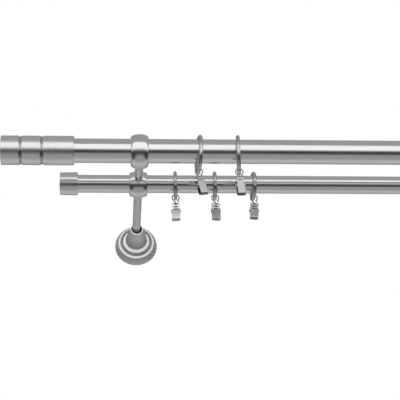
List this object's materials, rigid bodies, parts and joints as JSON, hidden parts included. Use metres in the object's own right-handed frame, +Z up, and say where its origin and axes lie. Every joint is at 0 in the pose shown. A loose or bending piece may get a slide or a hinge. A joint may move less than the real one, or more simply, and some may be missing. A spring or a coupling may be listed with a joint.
{
  "type": "double curtain pole",
  "caption": "Double metal curtain pole on two wall brackets: thick front tube with grooved finials, thin back tube with end caps, rings with clips, round stepped wall covers.",
  "frame": {"origin": "centre of the left wall plate, on the wall", "axes": "+X along the poles to the right, +Y into the wall, +Z up"},
  "size_m": [1.149, 0.2268, 0.0747],
  "materials": {
    "pole_tube": "satin nickel plate",
    "finial_metal": "turned and satin nickel plated",
    "holder_metal": "satin nickel plate",
    "arm_rod": "satin nickel plate",
    "rosette_metal": "spun and satin nickel plated",
    "plate_steel": "zinc plated",
    "ring_wire": "satin nickel plate",
    "hook_wire": "bright nickel plate",
    "clip_steel": "bright nickel plate",
    "pin_steel": "bright nickel plate",
    "spring_steel": "blued spring steel",
    "screw_steel": "blackened steel"
  },
  "bodies": {
    "pole_frame": {"front_pole": "pole_tube", "back_pole": "pole_tube", "finial_left": "finial_metal", "finial_right": "finial_metal", "end_cap_left": "finial_metal", "end_cap_right": "finial_metal", "wall_plate_left": "plate_steel", "rear_arm_left": "arm_rod", "front_arm_left": "arm_rod", "front_holder_left": "holder_metal", "back_holder_left": "holder_metal", "grub_screws_left": "screw_steel", "wall_plate_right": "plate_steel", "rear_arm_right": "arm_rod", "front_arm_right": "arm_rod", "front_holder_right": "holder_metal", "back_holder_right": "holder_metal", "grub_screws_right": "screw_steel"},
    "cover_left": {"rosette_cover_left": "rosette_metal"},
    "cover_right": {"rosette_cover_right": "rosette_metal"},
    "front_ring_1": {"front_ring_1": "ring_wire"},
    "front_hook_1": {"front_hook_1": "hook_wire"},
    "front_clip_1": {"front_clip_1": "clip_steel", "front_pin_1": "pin_steel", "front_spring_1": "spring_steel"},
    "front_jaw_1": {"front_jaw_1": "clip_steel"},
    "front_ring_2": {"front_ring_2": "ring_wire"},
    "front_hook_2": {"front_hook_2": "hook_wire"},
    "front_clip_2": {"front_clip_2": "clip_steel", "front_pin_2": "pin_steel", "front_spring_2": "spring_steel"},
    "front_jaw_2": {"front_jaw_2": "clip_steel"},
    "back_ring_1": {"back_ring_1": "ring_wire"},
    "back_hook_1": {"back_hook_1": "hook_wire"},
    "back_clip_1": {"back_clip_1": "clip_steel", "back_pin_1": "pin_steel", "back_spring_1": "spring_steel"},
    "back_jaw_1": {"back_jaw_1": "clip_steel"},
    "back_ring_2": {"back_ring_2": "ring_wire"},
    "back_hook_2": {"back_hook_2": "hook_wire"},
    "back_clip_2": {"back_clip_2": "clip_steel", "back_pin_2": "pin_steel", "back_spring_2": "spring_steel"},
    "back_jaw_2": {"back_jaw_2": "clip_steel"},
    "back_ring_3": {"back_ring_3": "ring_wire"},
    "back_hook_3": {"back_hook_3": "hook_wire"},
    "back_clip_3": {"back_clip_3": "clip_steel", "back_pin_3": "pin_steel", "back_spring_3": "spring_steel"},
    "back_jaw_3": {"back_jaw_3": "clip_steel"}
  },
  "joints": [
    {"name": "cover_left_slide", "type": "slide", "parent": "pole_frame", "child": "cover_left", "axis": [0, -1, 0], "range_m": [0, 0.08]},
    {"name": "cover_right_slide", "type": "slide", "parent": "pole_frame", "child": "cover_right", "axis": [0, -1, 0], "range_m": [0, 0.08]},
    {"name": "front_ring_1_slide", "type": "slide", "parent": "pole_frame", "child": "front_ring_1", "axis": [1, 0, 0], "range_m": [-0.046, 0.003]},
    {"name": "front_hook_1_swing", "type": "hinge", "parent": "front_ring_1", "child": "front_hook_1", "pos_m": [0.05994, -0.20604, -0.02309], "axis": [-0.0785, 0.9969, 0], "range_deg": [-15, 15]},
    {"name": "front_clip_1_swivel", "type": "hinge", "parent": "front_hook_1", "child": "front_clip_1", "pos_m": [0.05994, -0.20604, -0.03104], "axis": [0, 0, 1], "continuous": true},
    {"name": "front_jaw_1_hinge", "type": "hinge", "parent": "front_clip_1", "child": "front_jaw_1", "pos_m": [0.06209, -0.20604, -0.03998], "axis": [0.9347, 0.2756, 0.2244], "range_deg": [0, 25], "stiffness_Nm_per_rad": 0.001, "springref_deg": -11.46, "deforming": ["front_spring_1"]},
    {"name": "front_ring_2_slide", "type": "slide", "parent": "pole_frame", "child": "front_ring_2", "axis": [1, 0, 0], "range_m": [-0.003, 0.745]},
    {"name": "front_hook_2_swing", "type": "hinge", "parent": "front_ring_2", "child": "front_hook_2", "pos_m": [0.1011, -0.206, -0.0231], "axis": [0.0872, 0.9962, 0], "range_deg": [-15, 15]},
    {"name": "front_clip_2_swivel", "type": "hinge", "parent": "front_hook_2", "child": "front_clip_2", "pos_m": [0.1011, -0.206, -0.03105], "axis": [0, 0, 1], "continuous": true},
    {"name": "front_jaw_2_hinge", "type": "hinge", "parent": "front_clip_2", "child": "front_jaw_2", "pos_m": [0.10182, -0.206, -0.04022], "axis": [0.9945, 0.0698, 0.0783], "range_deg": [0, 25], "stiffness_Nm_per_rad": 0.001, "springref_deg": -11.46, "deforming": ["front_spring_2"]},
    {"name": "back_ring_1_slide", "type": "slide", "parent": "pole_frame", "child": "back_ring_1", "axis": [1, 0, 0], "range_m": [-0.026, 0.008]},
    {"name": "back_hook_1_swing", "type": "hinge", "parent": "back_ring_1", "child": "back_hook_1", "pos_m": [0.0394, -0.14, -0.0156], "axis": [0.0454, 0.999, 0], "range_deg": [-15, 15]},
    {"name": "back_clip_1_swivel", "type": "hinge", "parent": "back_hook_1", "child": "back_clip_1", "pos_m": [0.0394, -0.14, -0.02355], "axis": [0, 0, 1], "continuous": true},
    {"name": "back_jaw_1_hinge", "type": "hinge", "parent": "back_clip_1", "child": "back_jaw_1", "pos_m": [0.03945, -0.13936, -0.03273], "axis": [-0.9976, 0.0698, 0], "range_deg": [0, 25], "stiffness_Nm_per_rad": 0.001, "springref_deg": -11.46, "deforming": ["back_spring_1"]},
    {"name": "back_ring_2_slide", "type": "slide", "parent": "pole_frame", "child": "back_ring_2", "axis": [1, 0, 0], "range_m": [-0.008, 0.006]},
    {"name": "back_hook_2_swing", "type": "hinge", "parent": "back_ring_2", "child": "back_hook_2", "pos_m": [0.0815, -0.14, -0.0156], "axis": [0.0384, 0.9993, 0], "range_deg": [-15, 15]},
    {"name": "back_clip_2_swivel", "type": "hinge", "parent": "back_hook_2", "child": "back_clip_2", "pos_m": [0.0815, -0.14, -0.02355], "axis": [0, 0, 1], "continuous": true},
    {"name": "back_jaw_2_hinge", "type": "hinge", "parent": "back_clip_2", "child": "back_jaw_2", "pos_m": [0.0815, -0.14, -0.03275], "axis": [-0.9877, -0.1564, 0], "range_deg": [0, 25], "stiffness_Nm_per_rad": 0.001, "springref_deg": -11.46, "deforming": ["back_spring_2"]},
    {"name": "back_ring_3_slide", "type": "slide", "parent": "pole_frame", "child": "back_ring_3", "axis": [1, 0, 0], "range_m": [-0.006, 0.725]},
    {"name": "back_hook_3_swing", "type": "hinge", "parent": "back_ring_3", "child": "back_hook_3", "pos_m": [0.1227, -0.14, -0.0156], "axis": [-0.0541, 0.9985, 0], "range_deg": [-15, 15]},
    {"name": "back_clip_3_swivel", "type": "hinge", "parent": "back_hook_3", "child": "back_clip_3", "pos_m": [0.1227, -0.14, -0.02355], "axis": [0, 0, 1], "continuous": true},
    {"name": "back_jaw_3_hinge", "type": "hinge", "parent": "back_clip_3", "child": "back_jaw_3", "pos_m": [0.12206, -0.14096, -0.03268], "axis": [-0.9976, 0, 0.0698], "range_deg": [0, 25], "stiffness_Nm_per_rad": 0.001, "springref_deg": -11.46, "deforming": ["back_spring_3"]}
  ]
}
